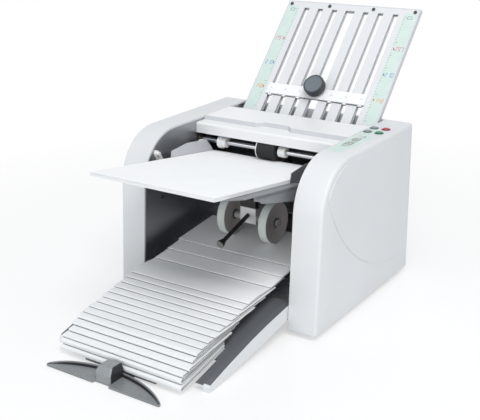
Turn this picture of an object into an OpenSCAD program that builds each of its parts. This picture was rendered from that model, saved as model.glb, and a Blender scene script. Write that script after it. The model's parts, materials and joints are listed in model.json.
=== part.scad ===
/* [Body] */
// Clear width between the two side plates
inner_w = 264; // [256:2:300]
// Width of one side housing
housing_w = 46; // [44:1:60]
// Height of the top faces above the desk
body_h = 251; // [250:1:260]
// Depth of the housings at their foot
body_d = 302; // [300:1:330]
// How far the front edge leans back over its height
front_lean = 20; // [5:1:30]
// Radius of the large curve between the front and the top
nose_r = 78; // [50:1:90]
// Radius of the small corners of the side outline
heel_r = 5; // [4:0.5:8]
// Rounding of the outer edges of the housings
edge_r = 5; // [2:0.5:8]
// Wall of the moulded housings
shell = 3; // [2:0.5:4]
// Thickness of the steel side plates
plate_t = 2; // [1.5:0.5:3]
// Height of the rubber feet
foot_h = 6; // [4:1:10]
// Radius of a rubber foot
foot_r = 11; // [8:1:14]
// Height of the raised field on the outer sides
relief_h = 1; // [0.5:0.5:2]

/* [Paper] */
// Width of an unfolded sheet
sheet_w = 210; // [200:1:216]
// Length of an unfolded sheet
sheet_l = 297; // [279:1:297]
// Height of the stack on the feed table
stack_t = 5.5; // [3:0.5:7]
// Length of a folded sheet
folded_l = 99; // [93:1:99]
// Thickness of a folded sheet
folded_t = 1.2; // [0.8:0.1:1.3]
// Folded sheets in the pile, below the three last ones
pile_count = 15; // [10:1:15]

/* [Feed] */
// Slope of the feed table, up towards the front
table_tilt = 8.3; // [6:0.1:9]
// Thickness of the feed table
table_t = 2; // [1.5:0.5:3]
// Width of the feed table
table_w = 236; // [230:2:240]
// Thickness of the table aprons
apron_t = 3; // [2:0.5:4]
// Radius of the feed roller
feed_r = 15.8; // [14:0.1:16]
// Length of the feed roller
feed_roller_l = 33; // [25:1:40]
// Thickness of a side guide
guide_t = 1.2; // [1:0.1:1.5]

/* [Fold rollers] */
// Width of a gear
gear_w = 10; // [6:1:11]
// Radius of every roller shaft
shaft_r = 4; // [3:0.5:5]
// Gap between two fold rollers at their nip
nip_gap = 0.3; // [0.2:0.1:0.6]
// Radius of the driven pulley
pulley_r = 20; // [15:1:24]
// Radius of the motor pulley
motor_pulley_r = 8; // [6:1:10]
// Radius of the motor
motor_r = 30; // [20:1:34]

/* [Fold plates] */
// Slope of the upper fold plate
upper_tilt = 46.6; // [44:0.1:50]
// Length of the upper fold plate above the body
upper_reach = 213; // [180:1:240]
// Slope of the lower fold plate, down towards the rear
lower_tilt = 50; // [46:0.5:54]
// Length of the lower fold plate
lower_l = 180; // [150:1:180]
// Width of both fold plates
plate_w = 252; // [246:1:254]
// Thickness of one sheet of a fold plate
skin_t = 1.5; // [1:0.1:2]
// Gap for the paper between the two sheets
chute_gap = 4; // [3:0.5:4]
// Width of the narrow slots
slot_w = 10; // [6:0.5:12]
// Width of the slot in the middle
mid_slot_w = 17.5; // [12:0.5:20]
// Distance between neighbouring narrow slots
slot_pitch = 27.6; // [24:0.1:30]
// Radius of the upper clamping knob
knob_r = 18; // [12:0.5:20]
// Radius of the lower clamping knob
lower_knob_r = 13; // [10:0.5:16]
// Width of the stop bars
stop_w = 186; // [180:1:200]
// Depth of the stop bars, along the plate
stop_bar_d = 20; // [14:1:22]

/* [Cover] */
// Thickness of the top cover
cover_t = 2.5; // [2:0.5:3]
// Radius of the rolled rear edge, round the hinge
barrel_r = 7; // [5:0.5:7]
// Drop from the top of the cover to its ledge
step_h = 6; // [3:0.5:8]
// Width of the finger notch
notch_w = 44; // [30:1:60]
// Depth of the finger notch
notch_d = 10; // [6:1:14]

/* [Controls] */
// Radius of a push button
button_r = 5.5; // [4:0.5:6]
// How far a button stands out of the panel
button_rise = 2; // [1.5:0.5:3]
// Width of the display window
display_w = 13; // [8:1:14]
// Length of the display window
display_l = 63; // [40:1:66]

/* [Stacker] */
// Radius of a stacker wheel
wheel_r = 33; // [28:0.5:33]
// Width of a stacker wheel
wheel_w = 14; // [10:1:16]
// Distance between the middles of the two wheels
wheel_track = 76; // [70:1:90]
// Radius of the wheel axle
axle_r = 3; // [2:0.5:4]
// Radius of the pull rod
rod_r = 3.25; // [2.5:0.25:4]
// Slope of the pull rod
rod_tilt = 16.6; // [10:0.1:20]

/* [Delivery tray] */
// Width of the tray
tray_w = 262; // [250:1:263]
// Width of one side rail
rail_w = 10; // [6:1:14]
// Thickness of the deck
deck_t = 2.5; // [2:0.1:2.8]
// Width of the middle tongue
tongue_w = 122; // [80:1:140]
// How far the end stop stands out in front of the housings
stop_reach = 251; // [245:1:270]
// Width of the end stop
wing_w = 196; // [150:1:220]
// Depth of the end stop, from its front edge to its back
wing_d = 34; // [24:1:36]

/* [Hidden] */

// Clearances
play = 0.05;       // radial, shaft in bore
gap = 0.3;         // between pieces that pass each other
cut = 1;           // how far a cutter runs past a face
$fn = 48;

// Side outline of the body, in Y and Z
inner_x = inner_w / 2;
outer_x = inner_x + housing_w;
lean = atan(front_lean / (body_h - foot_h));
nose_z = body_h - nose_r;
nose_y = nose_r / cos(lean) + (nose_z - foot_h) * tan(lean);

// Four fold rollers in mesh, the second one drives
gear_m = 1.5;
gear_teeth = 20;
centre_d = gear_m * gear_teeth;
roller_r = (centre_d - nip_gap) / 2;
drive_axis = [body_d - 63.1, body_h - 70.6];
plate_exit_z = drive_axis[1] - 72.4;
plate_exit_h = 44;
exit_dir = -55.2;
roller_dirs = [upper_tilt + 90, 0, 90 - lower_tilt, exit_dir];
roller_axes = [for (k = [0:3]) drive_axis + (k == 1 ? 0 : centre_d) * polar(roller_dirs[k])];
upper_nip = (roller_axes[0] + roller_axes[1]) / 2;
lower_nip = (roller_axes[1] + roller_axes[2]) / 2;

// The feed roller is two meshes away from the first fold roller
feed_span = 1.9153 * centre_d;
feed_dir = 165.4;
feed_axis = roller_axes[0] + feed_span * polar(feed_dir);
idler_dir = feed_dir + acos(feed_span / 2 / centre_d);
idler_axis = roller_axes[0] + centre_d * polar(idler_dir);
idler_out_dir = atan2(feed_axis[1] - idler_axis[1], feed_axis[0] - idler_axis[0]);
motor_axis = [body_d - 87, 50];

// The surface of the feed table passes through table_ref, a full stack below the feed roller
feed_lift = 0.5;
table_ref = feed_axis + [0.5, -(feed_r + stack_t + feed_lift) / cos(table_tilt)];
table_reach = 281;
table_tail = 16;
table_left_cut = [56, 57];
table_right_cut = [19, 34];
apron_front = table_ref[0] - (table_reach - table_left_cut[1]) * cos(table_tilt) + 2;
apron_back = 150;
table_pins = [62, 135];
table_pin_r = 5;
table_pin_drop = 12;
bush_r = 8.5;
feed_disc_t = 1.5;
guide_x = sheet_w / 2 + 1;
guide_foot_t = 1.5;
guide_foot_ends = [60, 152];
guide_screw_r = 2.5;
guide_foot = 10;
guide_knob_y = table_ref[0] - 23;
guide_knob_r = 5.5;
guide_lean = 0.8;
lever_axis = [54, table_z(54) - 6.2];
lever_pin_r = 2.5;
lever_tip = [-11, 17];

// The mouths of both fold plates face their nips
plate_depth = 2 * skin_t + chute_gap + 1;
plate_side = 2;
chute_side = 5;
plate_pin_r = 3.5;
slot_start = 8;
stem_r = 4;
dimple_r = 1.6;
upper_foot = [upper_nip[0] + (body_h - upper_nip[1]) / tan(upper_tilt), body_h];
lower_foot = lower_nip + 40 * polar(-lower_tilt) + (skin_t + chute_gap / 2) * polar(90 - lower_tilt);

// The footprint is centred on the origin between the end stop and the top of the upper fold plate
plate_back = upper_foot[0] + upper_reach * cos(upper_tilt) + plate_depth * sin(upper_tilt);
mid_y = (plate_back - stop_reach) / 2;

// Gear phases: turn of each gear at which its teeth sit in the gaps of its neighbour
phase_1 = mated(0, roller_dirs[0]);
phase_3 = mated(0, roller_dirs[2]);
phase_4 = mated(0, roller_dirs[3]);
phase_idler = mated(phase_1, idler_dir);
phase_feed = mated(phase_idler, idler_out_dir);
gear_x = inner_x + plate_t + 3;
pulley_x = gear_x + gear_w + 3;
pulley_w = 9;
pulley_rim = 1;
pulley_flange = 2;
motor_shaft_r = 3;
motor_boss_r = 14;
motor_boss_l = 2;
motor_l = inner_x - motor_boss_l - 66;
belt_t = 1.5;
bearing_r = shaft_r + 3;
bearing_flange_r = bearing_r + 2;
bearing_flange_t = 1.5;
bearing_l = 2;

// Fold plates
upper_low = -36;
slot_margin = 13;
slot_half_count = 3;
slot_offset = 30 - slot_pitch;
stop_bar_t = 3.5;
upper_stop_s = 31.5;
upper_knob_s = upper_stop_s + 8;
lower_stop_s = 120;
knob_h = 16;
knob_lift = 5;

// Cover
hinge_axis = [243, body_h - barrel_r];
lip_y = 149.5;
lip_low = body_h - 22.8;
step_y = 174;
cover_gap = 0.5;
pin_r = 3;

// Stacker
wheel_axis = [112, 118];
hub_r = 9;
tyre_h = 4.5;
wheel_sink = 1;
wheel_edge = 0.6;
wheel_half = [
    [axle_r + play, -wheel_w / 2], [hub_r, -wheel_w / 2], [hub_r, wheel_sink - wheel_w / 2],
    [wheel_r - tyre_h - 0.5, wheel_sink - wheel_w / 2], [wheel_r - tyre_h, -wheel_w / 2],
    [wheel_r - wheel_edge, -wheel_w / 2], [wheel_r, wheel_edge - wheel_w / 2]
];
collar_r = axle_r + 2.5;
collar_l = 3;
slide_tilt = 6;
slide_start = [106, 146];
slide_l = 82;
slide_x = 9;
bracket_w = 28;
bracket_t = 1.5;
rod_root = [100, 126];
rod_front_l = 77;

// Tray and pile
deck_line = [[-212, 5.2], [-118, 24], [18, 44]];
deck_tilt = atan((deck_line[1][1] - deck_line[0][1]) / (deck_line[1][0] - deck_line[0][0]));
ramp_line = [deck_line[2], [156, 85.3], [166, 92], drive_axis + [-24.9, -39.4], drive_axis + [-0.9, -21.9]];
exit_line = [slide_start + [70, -34], drive_axis + [-24.9, -31.9], drive_axis + [-3.4, -16.9]];
entry_line = [for (p = [[-59.9, 9.6], [-37.9, -4.4], [-23.9, -7.4]]) drive_axis + p];
arm_front = -190;

// Pile of folded sheets: front edges and slopes by number, steep at the front and flat above.
// Folds that nothing presses on stand open, so each sheet is a wedge up to the next one.
pile_front = [-215, deck_z(-215) + deck_t / 2 + gap];
pile_steep = [2, -209, 22];
pile_knee = [6, -169, 44.5];
pile_end = [14, -60, 64.3];
pile_bend = [0, pile_steep[0], pile_knee[0], pile_end[0]];
pile_ys = [pile_front[0], pile_steep[1], pile_knee[1], pile_end[1]];
pile_zs = [pile_front[1], pile_steep[2], pile_knee[2], pile_end[2]];
pile_tilts = [deck_tilt, 8.67, 3.4, 2.3];
top_fronts = [-5, 26, 56];
top_tilt = 6;
top_start = 68.1;
top_pitch = 1.45;

// Housings and frame
boss_spots = [[30, 30], [body_d - 24, 30], [body_d - 18, body_h - 26], [70, body_h - 36]];
display_at = [147.5, 160];
button_spots = [[141, 217], [141, 240], [160, 218], [160, 242]];
pan_z = foot_h + shell + 1;
bar_spots = [[60, 26], [body_d - 24, 26], [226, body_h - 17]];
bar_r = 5;
inlet_at = [-88, 42];
inlet_size = [30, 14, 24];
switch_at = [-52, 42];
switch_size = [14, 26];

// Rubber sleeves of a fold roller
sleeve_count = 4;
sleeve_gap = 8;
sleeve_l = (inner_w - sleeve_gap * (sleeve_count + 1)) / sleeve_count;

// The pad faces the feed roller across a gap that one sheet passes
pad_r = feed_r + 3;
pad_low = feed_axis + pad_r * polar(-78.6);
pad_high = feed_axis + pad_r * polar(-41.3);

// Side guide: distance from table_ref towards the front, and height above the table
guide_line = [[4.5, gap], [4.5, 7.8], [20.4, 24.9], [71.5, 24.1], [110.4, 15.1], [112.3, 5.6], [112.3, gap]];

// Slots and screws of the fold plates
slot_spots = [for (i = [-slot_half_count:slot_half_count]) i * slot_pitch + sign(i) * slot_offset];
screw_x = [-plate_w / 2 + 8, -plate_w / 6, plate_w / 6, plate_w / 2 - 8];

// Section of the lip and the ledge, and outline of the step up to the top
cover_x = inner_x - cover_gap;
ledge_z = body_h - step_h;
ledge_back = step_y + notch_d + 2 * cover_t;
lip_front = [[lip_y, lip_low], [lip_y, ledge_z - 3], each arc([lip_y + 3, ledge_z - 3], 3, 180, 90, 4)];
lip_line = [
    each lip_front, [ledge_back, ledge_z], [ledge_back, ledge_z - cover_t],
    [lip_y + 1.5, ledge_z - cover_t], [lip_y + 1.5, lip_low]
];
cover_outline = [
    [-cover_x, step_y], [-notch_w / 2 - notch_d, step_y], [-notch_w / 2, step_y + notch_d],
    [notch_w / 2, step_y + notch_d], [notch_w / 2 + notch_d, step_y], [cover_x, step_y]
];

// Hanger of the stacker, end stop and tray
hanger_at = along(slide_start, slide_tilt, 42);
hanger_bar = hanger_at + [0, 17];
hanger_l = 22;
tray_back = deck_line[2][0];
runner_w = 48;
runner_t = 1.4;
wing_notch_w = 48;
wing_notch_d = 4;
block_w = 27;
block_line = [[5, 3], [5, 16.5], [7.5, 17.5], [11, 23], [33, 23], [33, 3]];
wing_round = (wing_w * wing_w / 4 + wing_d * wing_d) / 2 / wing_d;

function polar(a) = [cos(a), sin(a)];
function arc(c, r, a, b, n) = [for (i = [0:n]) c + r * polar(a + (b - a) * i / n)];

// Side outline drawn in by an inset, with the large nose curve on one centre
function side_outline(inset = 0) =
    let (lo = foot_h + inset, hi = body_h - inset, back = body_d - inset)
    let (r = max(heel_r - inset, 0.6), z = lo + r)
    let (y = (inset + r) / cos(lean) + (z - foot_h) * tan(lean))
    concat(
        arc([nose_y, nose_z], nose_r - inset, 90, 180 - lean, 16),
        arc([y, z], r, 180 - lean, 270, 4),
        arc([back - r, lo + r], r, 270, 360, 4),
        arc([back - r, hi - r], r, 0, 90, 4)
    );

// Height of the table surface at a given Y
function table_z(y) = table_ref[1] + (table_ref[0] - y) * tan(table_tilt);

// Turn of a gear that meshes with a neighbour of the same size, seen in direction dir from it
function mated(phase, dir) = 2 * dir + 180 - phase + 180 / gear_teeth;

// Involute tooth: half angle of a tooth at radius r
base_r = centre_d / 2 * cos(20);
function inv(a) = tan(a) * 180 / PI - a;
function half_tooth(r) = 90 / gear_teeth - 0.35 + inv(20) - (r > base_r ? inv(acos(base_r / r)) : 0);
function tooth(a, radii) = concat(
    [for (r = radii) r * polar(a - half_tooth(r))],
    [for (i = [len(radii) - 1:-1:0]) radii[i] * polar(a + half_tooth(radii[i]))]
);
tooth_radii = [centre_d / 2 - 1.25 * gear_m, base_r, centre_d / 2, centre_d / 2 + 0.93 * gear_m];

// Height of the middle of the tray deck's sheet at a given Y, past its front edge too
function deck_z(y) = lookup(y, deck_line) - deck_t / 2 + min(0, y - deck_line[0][0]) * tan(deck_tilt);

// A strip of constant thickness below an open line of points
function strip(line, t) = concat(line, [for (i = [len(line) - 1:-1:0]) line[i] - [0, t]]);

// Front edge of folded sheet i in the pile, its slope, and its underside at a given Y
function along_pile(i, values) = lookup(i, [for (k = [0:3]) [pile_bend[k], values[k]]]);
function pile_at(i) = [along_pile(i, pile_ys), along_pile(i, pile_zs)];
function pile_slope(i) = along_pile(i, pile_tilts);
function pile_under(i, y) = pile_at(i)[1] + (y - pile_at(i)[0]) * tan(pile_slope(i));
function top_z(k) = k == 0 ? top_start
    : top_z(k - 1) + (top_fronts[k] - top_fronts[k - 1]) * tan(top_tilt) + top_pitch;

// Puts a piece into the part's frame
module placed() translate([0, -mid_y, 0]) children();

// Extrudes a Y-Z outline from x0 to x1
module across(x0, x1) translate([x0, 0, 0]) rotate([90, 0, 90]) linear_extrude(x1 - x0) children();

// Round bar along X at a point in Y and Z
module rod(at, r, x0, x1) translate([x0, at[0], at[1]]) rotate([0, 90, 0]) cylinder(r = r, h = x1 - x0);

module both_sides() {
    children();
    mirror([1, 0, 0]) children();
}

// ---- Housings ----

module housing_block() hull() for (k = [0:4])
    across(inner_x, outer_x - edge_r * (1 - sin(90 * k / 4)))
        polygon(side_outline(edge_r * (1 - cos(90 * k / 4))));

module side_relief() across(outer_x - 0.5, outer_x + relief_h) intersection() {
    polygon(side_outline(10));
    translate([body_d - 37, body_h + 44]) circle(r = body_h + 1, $fn = 96);
}

module housing() {
    difference() {
        housing_block();
        across(inner_x - cut, outer_x - shell) polygon(side_outline(shell));
    }
    for (p = boss_spots) rod(p, 5, inner_x + plate_t, outer_x - shell + 0.5);
    side_relief();
}

module left_housing() placed() color("gainsboro") mirror([1, 0, 0]) housing();

module right_housing() placed() color("gainsboro") difference() {
    housing();
    for (p = button_spots) translate([p[0], p[1], body_h - shell - cut])
        cylinder(r = button_r + gap, h = shell + 2 * cut);
    translate([display_at[0] - display_w / 2, display_at[1] - display_l / 2, body_h - 1.2])
        cube([display_w, display_l, 1.2 + cut]);
}

module display_window() placed() color("darkslategray")
    translate([display_at[0] - display_w / 2, display_at[1] - display_l / 2, body_h - 1.2])
        cube([display_w, display_l, 1.5]);

module feet() placed() color("dimgray") both_sides()
    for (y = [28, body_d - 28]) translate([inner_x + housing_w / 2, y, 0]) {
        cylinder(r1 = foot_r - 1, r2 = foot_r, h = 1.5);
        translate([0, 0, 1.5]) cylinder(r = foot_r, h = foot_h - 1.5);
    }

// ---- Frame ----

module side_plate() difference() {
    across(inner_x, inner_x + plate_t) polygon(side_outline(shell + gap));
    for (p = concat([feed_axis], roller_axes)) rod(p, bearing_r, inner_x - cut, inner_x + plate_t + cut);
    rod(hinge_axis, pin_r + play, inner_x - cut, inner_x + plate_t + cut);
}

module left_side_plate() placed() color("gray") difference() {
    mirror([1, 0, 0]) side_plate();
    rod(lever_axis, lever_pin_r + play, -inner_x - plate_t - cut, -inner_x + cut);
    rod([55, 145], 2.5, -inner_x - plate_t - cut, -inner_x + cut);
}

module right_side_plate() placed() color("gray") {
    difference() {
        side_plate();
        rod(motor_axis, 8, inner_x - cut, inner_x + plate_t + cut);
    }
    rod(idler_axis, shaft_r, inner_x + plate_t, gear_x + gear_w + 1);
}

module base_pan() placed() color("silver") {
    translate([-inner_x, 24, pan_z]) cube([inner_w, body_d - shell - 25, 2]);
    translate([-inner_x, 24, pan_z + 2]) cube([inner_w, 2, 12]);
    translate([-inner_x, body_d - shell - 3, pan_z + 2]) cube([inner_w, 2, 12]);
}

module tie_bars() placed() color("silver") {
    for (p = bar_spots) rod(p, bar_r, -inner_x, inner_x);
    rod(hanger_bar, bar_r, -inner_x, inner_x);
}

module rear_cover() placed() color("gainsboro") {
    difference() {
        translate([-inner_x, body_d - shell, pan_z]) cube([inner_w, shell, body_h - pan_z - 1]);
        translate([-plate_w / 2 - 2, body_d - shell - cut, plate_exit_z])
            cube([plate_w + 4, shell + 2 * cut, plate_exit_h]);
        translate([inlet_at[0] - inlet_size[0] / 2, body_d - shell - cut, inlet_at[1] - inlet_size[2] / 2])
            cube([inlet_size[0], shell + 2 * cut, inlet_size[2]]);
        translate([switch_at[0], body_d - shell - cut, switch_at[1]])
            translate([-switch_size[0] / 2, 0, -switch_size[1] / 2])
                cube([switch_size[0], shell + 2 * cut, switch_size[1]]);
        for (i = [0:7]) translate([30 + 9 * i, body_d - shell - cut, 34]) cube([4, shell + 2 * cut, 30]);
    }
    translate([-inner_x, hinge_axis[0] + barrel_r + 2, body_h - 15]) cube([inner_w, 18, 2.5]);
}

module mains_inlet() placed() color("black") {
    translate([inlet_at[0], body_d, inlet_at[1]]) difference() {
        translate([-inlet_size[0] / 2, -inlet_size[1], -inlet_size[2] / 2])
            cube([inlet_size[0], inlet_size[1] + 1, inlet_size[2]]);
        translate([-12, -10, -8.5]) cube([24, 12, 17]);
    }
    translate([inlet_at[0], body_d - 10, inlet_at[1]]) for (x = [-7, 0, 7])
        translate([x - 1, -0.5, x == 0 ? 1 : -3]) cube([2, 8, 4]);
    translate([switch_at[0], body_d, switch_at[1]]) difference() {
        translate([-switch_size[0] / 2, -12, -switch_size[1] / 2]) cube([switch_size[0], 13, switch_size[1]]);
        translate([-switch_size[0] / 2 + 2, -10, -switch_size[1] / 2 + 2])
            cube([switch_size[0] - 4, 12, switch_size[1] - 4]);
        rod([-3, 0], 1.5 + play, -switch_size[0] / 2 + 0.8, switch_size[0] / 2 - 0.8);
    }
}

module power_switch() placed() color("dimgray") translate([switch_at[0], body_d, switch_at[1]]) {
    across(-switch_size[0] / 2 + 2 + gap, switch_size[0] / 2 - 2 - gap)
        polygon([[-4.5, -7.5], [1, -9.8], [2.6, -9], [1.2, 0], [0.2, 9], [-1, 9.8], [-6, 7.5]]);
    rod([-3, 0], 1.5, -switch_size[0] / 2 + 1, switch_size[0] / 2 - 1);
}

// ---- Drive ----

module motor() placed() color("silver") difference() {
    union() {
        rod(motor_axis, motor_r, inner_x - motor_boss_l - motor_l, inner_x - motor_boss_l);
        rod(motor_axis, motor_boss_r, inner_x - motor_boss_l, inner_x);
        translate([70, motor_axis[0] - 18, pan_z + 2]) cube([50, 36, 14]);
    }
    rod(motor_axis, motor_shaft_r + play, inner_x - 14, inner_x + cut);
}

module pulley(r) {
    rod([0, 0], r, pulley_rim, pulley_w - pulley_rim);
    rod([0, 0], r + pulley_flange, 0, pulley_rim);
    rod([0, 0], r + pulley_flange, pulley_w - pulley_rim, pulley_w);
}

module motor_pulley() placed() color("dimgray") {
    translate([pulley_x, motor_axis[0], motor_axis[1]]) pulley(motor_pulley_r);
    rod(motor_axis, motor_shaft_r, inner_x - 13, pulley_x + pulley_w);
}

module belt_loop(extra) hull() {
    translate(drive_axis) circle(r = pulley_r + extra, $fn = 32);
    translate(motor_axis) circle(r = motor_pulley_r + extra, $fn = 24);
}

module drive_belt() placed() color("black")
    across(pulley_x + pulley_rim + gap, pulley_x + pulley_w - pulley_rim - gap) difference() {
        belt_loop(gap + belt_t);
        belt_loop(gap);
    }

module gear(at, phase) across(gear_x, gear_x + gear_w) difference() {
    translate(at) rotate(phase) union() {
        polygon([for (k = [0:gear_teeth - 1]) for (p = tooth(k * 360 / gear_teeth, tooth_radii)) p]);
    }
    translate(at) circle(r = shaft_r);
}

module fold_gear_1() placed() color("ivory") gear(roller_axes[0], phase_1);
module fold_gear_2() placed() color("ivory") {
    gear(roller_axes[1], 0);
    difference() {
        translate([pulley_x, drive_axis[0], drive_axis[1]]) pulley(pulley_r);
        rod(drive_axis, shaft_r, pulley_x - cut, pulley_x + pulley_w + cut);
    }
    difference() {
        rod(drive_axis, shaft_r + 4, gear_x + gear_w, pulley_x);
        rod(drive_axis, shaft_r, gear_x + gear_w - cut, pulley_x + cut);
    }
}
module fold_gear_3() placed() color("ivory") gear(roller_axes[2], phase_3);
module fold_gear_4() placed() color("ivory") gear(roller_axes[3], phase_4);
module feed_gear() placed() color("ivory") gear(feed_axis, phase_feed);
module idler_gear() placed() color("ivory") difference() {
    gear(idler_axis, phase_idler);
    rod(idler_axis, shaft_r + play, gear_x - cut, gear_x + gear_w + cut);
}

// Steel shaft with ground rubber sleeves
module fold_roller(at, x_end) {
    rod(at, shaft_r, -inner_x - plate_t - 3, x_end);
    for (i = [0:sleeve_count - 1]) {
        x = -inner_x + sleeve_gap + i * (sleeve_l + sleeve_gap);
        rod(at, roller_r, x, x + sleeve_l);
    }
}

module fold_roller_1() placed() color("dimgray") fold_roller(roller_axes[0], gear_x + gear_w + 1);
module fold_roller_2() placed() color("dimgray") fold_roller(roller_axes[1], pulley_x + pulley_w + 1);
module fold_roller_3() placed() color("dimgray") fold_roller(roller_axes[2], gear_x + gear_w + 1);
module fold_roller_4() placed() color("dimgray") fold_roller(roller_axes[3], gear_x + gear_w + 1);

module shaft_bearings() placed() color("goldenrod") both_sides()
    for (p = concat([feed_axis], roller_axes)) difference() {
        union() {
            rod(p, bearing_r, inner_x - bearing_l, inner_x + plate_t);
            rod(p, bearing_flange_r, inner_x - bearing_l - bearing_flange_t, inner_x - bearing_l);
        }
        rod(p, shaft_r + play, inner_x - bearing_l - bearing_flange_t - cut, inner_x + plate_t + cut);
    }

// ---- Feed ----

module feed_shaft() placed() color("silver")
    rod(feed_axis, shaft_r, -inner_x - plate_t - 3, gear_x + gear_w + 1);

module tube(at, r, bore, x0, x1) difference() {
    rod(at, r, x0, x1);
    rod(at, bore, x0 - cut, x1 + cut);
}

module feed_roller() placed() color("black")
    tube(feed_axis, feed_r, shaft_r, feed_disc_t - feed_roller_l / 2, feed_roller_l / 2);

// A stepped bush at the left, the disc on the roller's end, and a collar at its right
module shaft_bushes() placed() color("whitesmoke") {
    tube(feed_axis, bush_r + 2, shaft_r, -93, -86);
    tube(feed_axis, bush_r, shaft_r, -86, -79);
    tube(feed_axis, feed_r - 0.4, shaft_r, -feed_roller_l / 2, feed_disc_t - feed_roller_l / 2);
    tube(feed_axis, bush_r, shaft_r, feed_roller_l / 2 + 3.5, feed_roller_l / 2 + 15.5);
}

// Lies a flat shape on the table surface: local X is X, local Y runs up the slope to the front
module on_table(lift = 0) translate([0, table_ref[0], table_ref[1]]) rotate([-table_tilt, 0, 0])
    translate([0, 0, lift]) children();

module feed_table() placed() color("lightgray") {
    on_table(-table_t) linear_extrude(table_t) polygon([
        [-table_w / 2, table_tail], [-table_w / 2, table_left_cut[1] - table_reach],
        [table_left_cut[0] - table_w / 2, -table_reach], [table_w / 2 - table_right_cut[0], -table_reach],
        [table_w / 2, table_right_cut[1] - table_reach], [table_w / 2, table_tail]
    ]);
    both_sides() {
        across(table_w / 2 - apron_t, table_w / 2) polygon([
            [apron_front, table_z(apron_front) - table_t / 2], [apron_front, table_z(apron_front) - 8],
            each arc([apron_front + 20, table_z(apron_front + 20) - 6], 8, 200, 262, 5),
            [38, table_z(38) - 22.5], [apron_back, table_z(apron_back) - 17.2],
            [apron_back, table_z(apron_back) - table_t / 2]
        ]);
        for (y = table_pins) rod([y, table_z(y) - table_pin_drop], table_pin_r, table_w / 2, inner_x);
    }
}

module separation_pad() placed() color("brown") across(-20, 20) polygon([
    [pad_low[0], table_z(pad_low[0])], pad_low, pad_high, [pad_high[0] + 2.2, table_z(pad_high[0] + 2.2)]
]);

module feed_paper() placed() color("white") on_table(gap)
    translate([-sheet_w / 2, -sheet_l, 0]) cube([sheet_w, sheet_l, stack_t - gap]);

module side_guide() {
    across(guide_x, guide_x + guide_t)
        polygon([for (p = guide_line) [table_ref[0] - p[0], table_z(table_ref[0] - p[0]) + p[1]]]);
    difference() {
        across(guide_x + guide_t, guide_x + guide_t + guide_foot) polygon([
            for (y = guide_foot_ends) [y, table_z(y) + gap],
            for (k = [1:-1:0]) [guide_foot_ends[k], table_z(guide_foot_ends[k]) + gap + guide_foot_t]
        ]);
        guide_screw(guide_screw_r + play, 8);
    }
}

module guide_screw(r, h)
    translate([guide_x + guide_t + guide_knob_r + guide_lean, guide_knob_y, table_z(guide_knob_y) + gap])
    translate([0, 0, -h + 8]) cylinder(r = r, h = h);

module guide_knob() {
    guide_screw(guide_screw_r, 7.3);
    translate([guide_x + guide_t + guide_knob_r + guide_lean, guide_knob_y, table_z(guide_knob_y)]) {
        translate([0, 0, 8]) cylinder(r = guide_screw_r, h = 8);
        translate([0, 0, 3]) cylinder(r = 4.5, h = 5);
        translate([0, 0, 16]) cylinder(r = guide_knob_r, h = 7);
    }
}

module left_guide() placed() color("gray") mirror([1, 0, 0]) side_guide();
module right_guide() placed() color("gray") side_guide();
module left_guide_knob() placed() color("white") mirror([1, 0, 0]) guide_knob();
module right_guide_knob() placed() color("white") guide_knob();

module table_lever() placed() color("white") translate([0, lever_axis[0], lever_axis[1]]) {
    across(-inner_x + 0.5, -inner_x + 4.5) {
        circle(r = 5);
        polygon([[-4.2, -2.7], [4.2, 2.7], [4.2, 2.7] + lever_tip * 0.9, [-4.2, -2.7] + lever_tip]);
        translate(lever_tip) circle(r = 4.5);
    }
    rod(lever_tip, 3, -inner_x + 4.5, -inner_x + 9);
    rod([0, 0], lever_pin_r, -inner_x - plate_t, -inner_x + 0.5);
}

// ---- Paper guides inside ----

module paper_guides() placed() color("silver") across(-inner_x, inner_x) {
    polygon(strip(ramp_line, 1.5));
    polygon(strip(exit_line, 1.2));
    polygon(strip(entry_line, 1.2));
}

// ---- Fold plates ----

module slots(low, high, depth, lift, trim = 0) for (i = [0:len(slot_spots) - 1]) {
    w = (slot_spots[i] == 0 ? mid_slot_w : slot_w) - 2 * trim;
    translate([slot_spots[i] - w / 2, low, lift]) cube([w, high - low, depth]);
}

// Front sheet of a fold plate, with its slots
module plate_skin(low, high) difference() {
    translate([plate_side - plate_w / 2, low, -skin_t])
        cube([plate_w - 2 * plate_side, high - low - plate_side, skin_t]);
    slots(low + slot_start, high - slot_margin, skin_t + 2 * cut, -skin_t - cut);
}

// Rear sheet, side channels and end strip of a fold plate
module plate_tray(low, high) {
    difference() {
        translate([-plate_w / 2, low, -plate_depth]) cube([plate_w, high - low, plate_depth]);
        translate([plate_side - plate_w / 2, low - cut, -skin_t])
            cube([plate_w - 2 * plate_side, high - low - plate_side + cut, skin_t + cut]);
        translate([chute_side - plate_w / 2, low - cut, -skin_t - chute_gap])
            cube([plate_w - 2 * chute_side, high - low - chute_side - 1 + cut, chute_gap + cut]);
        slots(low + slot_start, high - slot_margin, plate_depth + cut, -plate_depth - cut);
    }
}

module plate_pins(spots) both_sides() for (s = spots)
    translate([plate_w / 2, s, -plate_depth / 2]) rotate([0, 90, 0])
        cylinder(r = plate_pin_r, h = inner_x - plate_w / 2);

module on_upper() translate([0, upper_foot[0], upper_foot[1]]) rotate([upper_tilt, 0, 0]) children();
module on_lower() translate([0, lower_foot[0], lower_foot[1]]) rotate([-lower_tilt, 0, 0]) children();

module upper_plate_front() placed() color("whitesmoke") on_upper() plate_skin(upper_low, upper_reach);
module upper_plate_frame() placed() color("darkgray") on_upper() {
    plate_tray(upper_low, upper_reach);
    plate_pins([-29, -14]);
}

module plate_screws() placed() color("silver") on_upper() for (x = screw_x)
    translate([x, upper_reach - 7, 0]) difference() {
        cylinder(r = 3, h = 1.5);
        translate([-3, -0.4, 0.8]) cube([6, 0.8, cut]);
    }

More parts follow.
